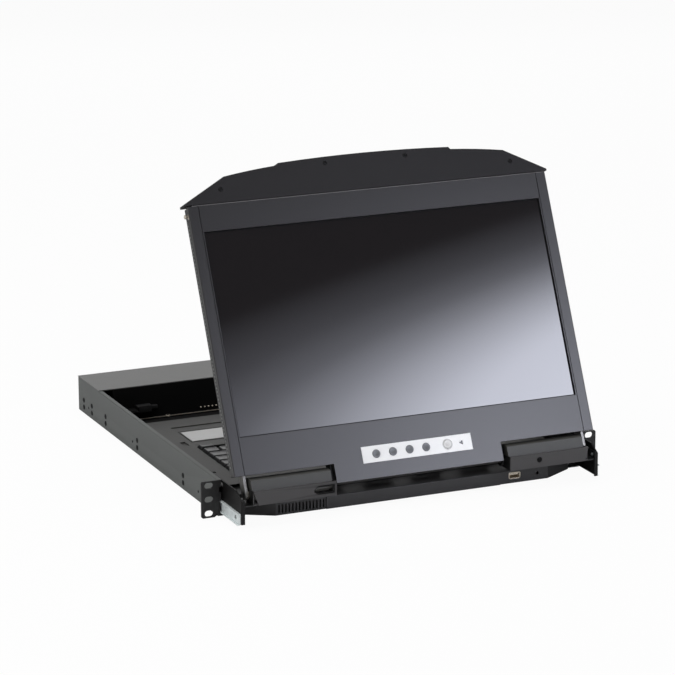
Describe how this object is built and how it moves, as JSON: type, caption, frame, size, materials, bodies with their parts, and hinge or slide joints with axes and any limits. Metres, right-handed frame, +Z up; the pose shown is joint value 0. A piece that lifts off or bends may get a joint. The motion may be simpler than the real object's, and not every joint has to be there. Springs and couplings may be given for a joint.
{
  "type": "rackmount lcd console drawer",
  "caption": "One-unit rack console: an LCD screen tipped open on its own pull-out carriage, above a sliding keyboard tray stowed in a steel chassis with rack ears.",
  "frame": {"origin": "centre of the ears' slot pattern, on the ears' front faces", "axes": "+X to the viewer's right along the rack's width, +Y into the rack, +Z up"},
  "size_m": [0.4826, 0.5217, 0.3655],
  "materials": {
    "chassis_paint": "textured powder coat",
    "ear_black": "textured powder coat",
    "zinc": "bright zinc plating",
    "screw_black": "black oxide",
    "bright_screw": "nickel plated",
    "slide_steel": "zinc plated, drawn",
    "bezel_plastic": "fine textured",
    "cover_plastic": "fine textured",
    "handle_plastic": "fine textured",
    "screen_glass": "glossy dark screen",
    "barrel_plastic": "smooth",
    "bracket_paint": "satin",
    "strip_white": "smooth",
    "button_metal": "metallic",
    "button_white": "smooth",
    "lamp": "clear dark lens",
    "circuit": "solder mask",
    "deck_plastic": "fine textured",
    "key_plastic": "fine textured",
    "panel_grey": "smooth",
    "touch_plastic": "smooth",
    "tray_steel": "satin",
    "inlet_plastic": "moulded"
  },
  "bodies": {
    "chassis": {"chassis_tray": "chassis_paint", "side_screws": "screw_black", "rack_ear_left": "ear_black", "rack_ear_right": "ear_black", "rear_cover": "chassis_paint", "cover_screws": "bright_screw", "bay_wall": "zinc", "rear_panel": "chassis_paint", "main_board": "circuit", "power_supply": "zinc", "power_inlet": "inlet_plastic", "console_sockets": "zinc", "lcd_slide_outer_left": "slide_steel", "lcd_slide_outer_right": "slide_steel", "keyboard_slide_outer_left": "slide_steel", "keyboard_slide_outer_right": "slide_steel"},
    "lcd_carriage": {"carriage_arm_left": "tray_steel", "carriage_arm_right": "tray_steel", "lcd_slide_inner_left": "zinc", "lcd_slide_inner_right": "zinc", "hinge_bracket_left": "bracket_paint", "hinge_bracket_right": "bracket_paint", "carriage_crossbar": "tray_steel", "carriage_screws": "screw_black"},
    "lcd_module": {"lcd_back_cover": "cover_plastic", "lcd_bezel": "bezel_plastic", "lcd_panel": "screen_glass", "lcd_handle": "handle_plastic", "handle_screws": "screw_black", "hinge_barrel_left": "barrel_plastic", "hinge_barrel_right": "barrel_plastic", "hinge_cheeks": "tray_steel", "hinge_shafts": "slide_steel", "control_strip": "strip_white", "power_led": "lamp", "lcd_board": "circuit", "latch_pins": "bright_screw"},
    "osd_button_1": {"osd_button_1": "button_metal"},
    "osd_button_2": {"osd_button_2": "button_metal"},
    "osd_button_3": {"osd_button_3": "button_metal"},
    "osd_button_4": {"osd_button_4": "button_metal"},
    "lcd_power_button": {"lcd_power_button": "button_white"},
    "rocker": {"power_switch": "inlet_plastic"},
    "keyboard_module": {"keyboard_tray": "tray_steel", "keyboard_deck": "deck_plastic", "keyboard_handle": "handle_plastic", "usb_socket": "bright_screw", "panel_strip": "panel_grey", "key_plate": "tray_steel", "keyboard_slide_inner_left": "slide_steel", "keyboard_slide_inner_right": "slide_steel", "touchpad": "touch_plastic"},
    "keys_space": {"key_row_space": "key_plastic"},
    "keys_shift": {"key_row_shift": "key_plastic"},
    "keys_home": {"key_row_home": "key_plastic"},
    "keys_upper": {"key_row_upper": "key_plastic"},
    "keys_number": {"key_row_number": "key_plastic"},
    "keys_function": {"key_row_function": "key_plastic"},
    "touch_button_left": {"touch_button_left": "touch_plastic"},
    "touch_button_right": {"touch_button_right": "touch_plastic"}
  },
  "joints": [
    {"name": "lcd_slide", "type": "slide", "parent": "chassis", "child": "lcd_carriage", "axis": [0, 1, 0], "range_m": [0, 0.3568]},
    {"name": "lcd_tilt", "type": "hinge", "parent": "lcd_carriage", "child": "lcd_module", "pos_m": [0, -0.03705, 0.0127], "axis": [1, 0, 0], "range_deg": [-4.8, 115.2]},
    {"name": "keyboard_slide", "type": "slide", "parent": "chassis", "child": "keyboard_module", "axis": [0, -1, 0], "range_m": [0, 0.29]},
    {"name": "osd_button_1_press", "type": "slide", "parent": "lcd_module", "child": "osd_button_1", "axis": [0, 0.9048, -0.4258], "range_m": [0, 0.0008], "stiffness_N_per_m": 900, "springref_m": -0.0006},
    {"name": "osd_button_2_press", "type": "slide", "parent": "lcd_module", "child": "osd_button_2", "axis": [0, 0.9048, -0.4258], "range_m": [0, 0.0008], "stiffness_N_per_m": 900, "springref_m": -0.0006},
    {"name": "osd_button_3_press", "type": "slide", "parent": "lcd_module", "child": "osd_button_3", "axis": [0, 0.9048, -0.4258], "range_m": [0, 0.0008], "stiffness_N_per_m": 900, "springref_m": -0.0006},
    {"name": "osd_button_4_press", "type": "slide", "parent": "lcd_module", "child": "osd_button_4", "axis": [0, 0.9048, -0.4258], "range_m": [0, 0.0008], "stiffness_N_per_m": 900, "springref_m": -0.0006},
    {"name": "lcd_power_button_press", "type": "slide", "parent": "lcd_module", "child": "lcd_power_button", "axis": [0, 0.9048, -0.4258], "range_m": [0, 0.0008], "stiffness_N_per_m": 900, "springref_m": -0.0006},
    {"name": "rocker_tilt", "type": "hinge", "parent": "chassis", "child": "rocker", "pos_m": [0.112, 0.4562, 0], "axis": [1, 0, 0], "range_deg": [0, 16]},
    {"name": "keys_space_press", "type": "slide", "parent": "keyboard_module", "child": "keys_space", "axis": [0, 0, -1], "range_m": [0, 0.002], "stiffness_N_per_m": 1200, "springref_m": -0.003},
    {"name": "keys_shift_press", "type": "slide", "parent": "keyboard_module", "child": "keys_shift", "axis": [0, 0, -1], "range_m": [0, 0.002], "stiffness_N_per_m": 1200, "springref_m": -0.003},
    {"name": "keys_home_press", "type": "slide", "parent": "keyboard_module", "child": "keys_home", "axis": [0, 0, -1], "range_m": [0, 0.002], "stiffness_N_per_m": 1200, "springref_m": -0.003},
    {"name": "keys_upper_press", "type": "slide", "parent": "keyboard_module", "child": "keys_upper", "axis": [0, 0, -1], "range_m": [0, 0.002], "stiffness_N_per_m": 1200, "springref_m": -0.003},
    {"name": "keys_number_press", "type": "slide", "parent": "keyboard_module", "child": "keys_number", "axis": [0, 0, -1], "range_m": [0, 0.002], "stiffness_N_per_m": 1200, "springref_m": -0.003},
    {"name": "keys_function_press", "type": "slide", "parent": "keyboard_module", "child": "keys_function", "axis": [0, 0, -1], "range_m": [0, 0.002], "stiffness_N_per_m": 1200, "springref_m": -0.003},
    {"name": "touch_button_left_press", "type": "slide", "parent": "keyboard_module", "child": "touch_button_left", "axis": [0, 0, -1], "range_m": [0, 0.0008], "stiffness_N_per_m": 900, "springref_m": -0.0006},
    {"name": "touch_button_right_press", "type": "slide", "parent": "keyboard_module", "child": "touch_button_right", "axis": [0, 0, -1], "range_m": [0, 0.0008], "stiffness_N_per_m": 900, "springref_m": -0.0006}
  ]
}
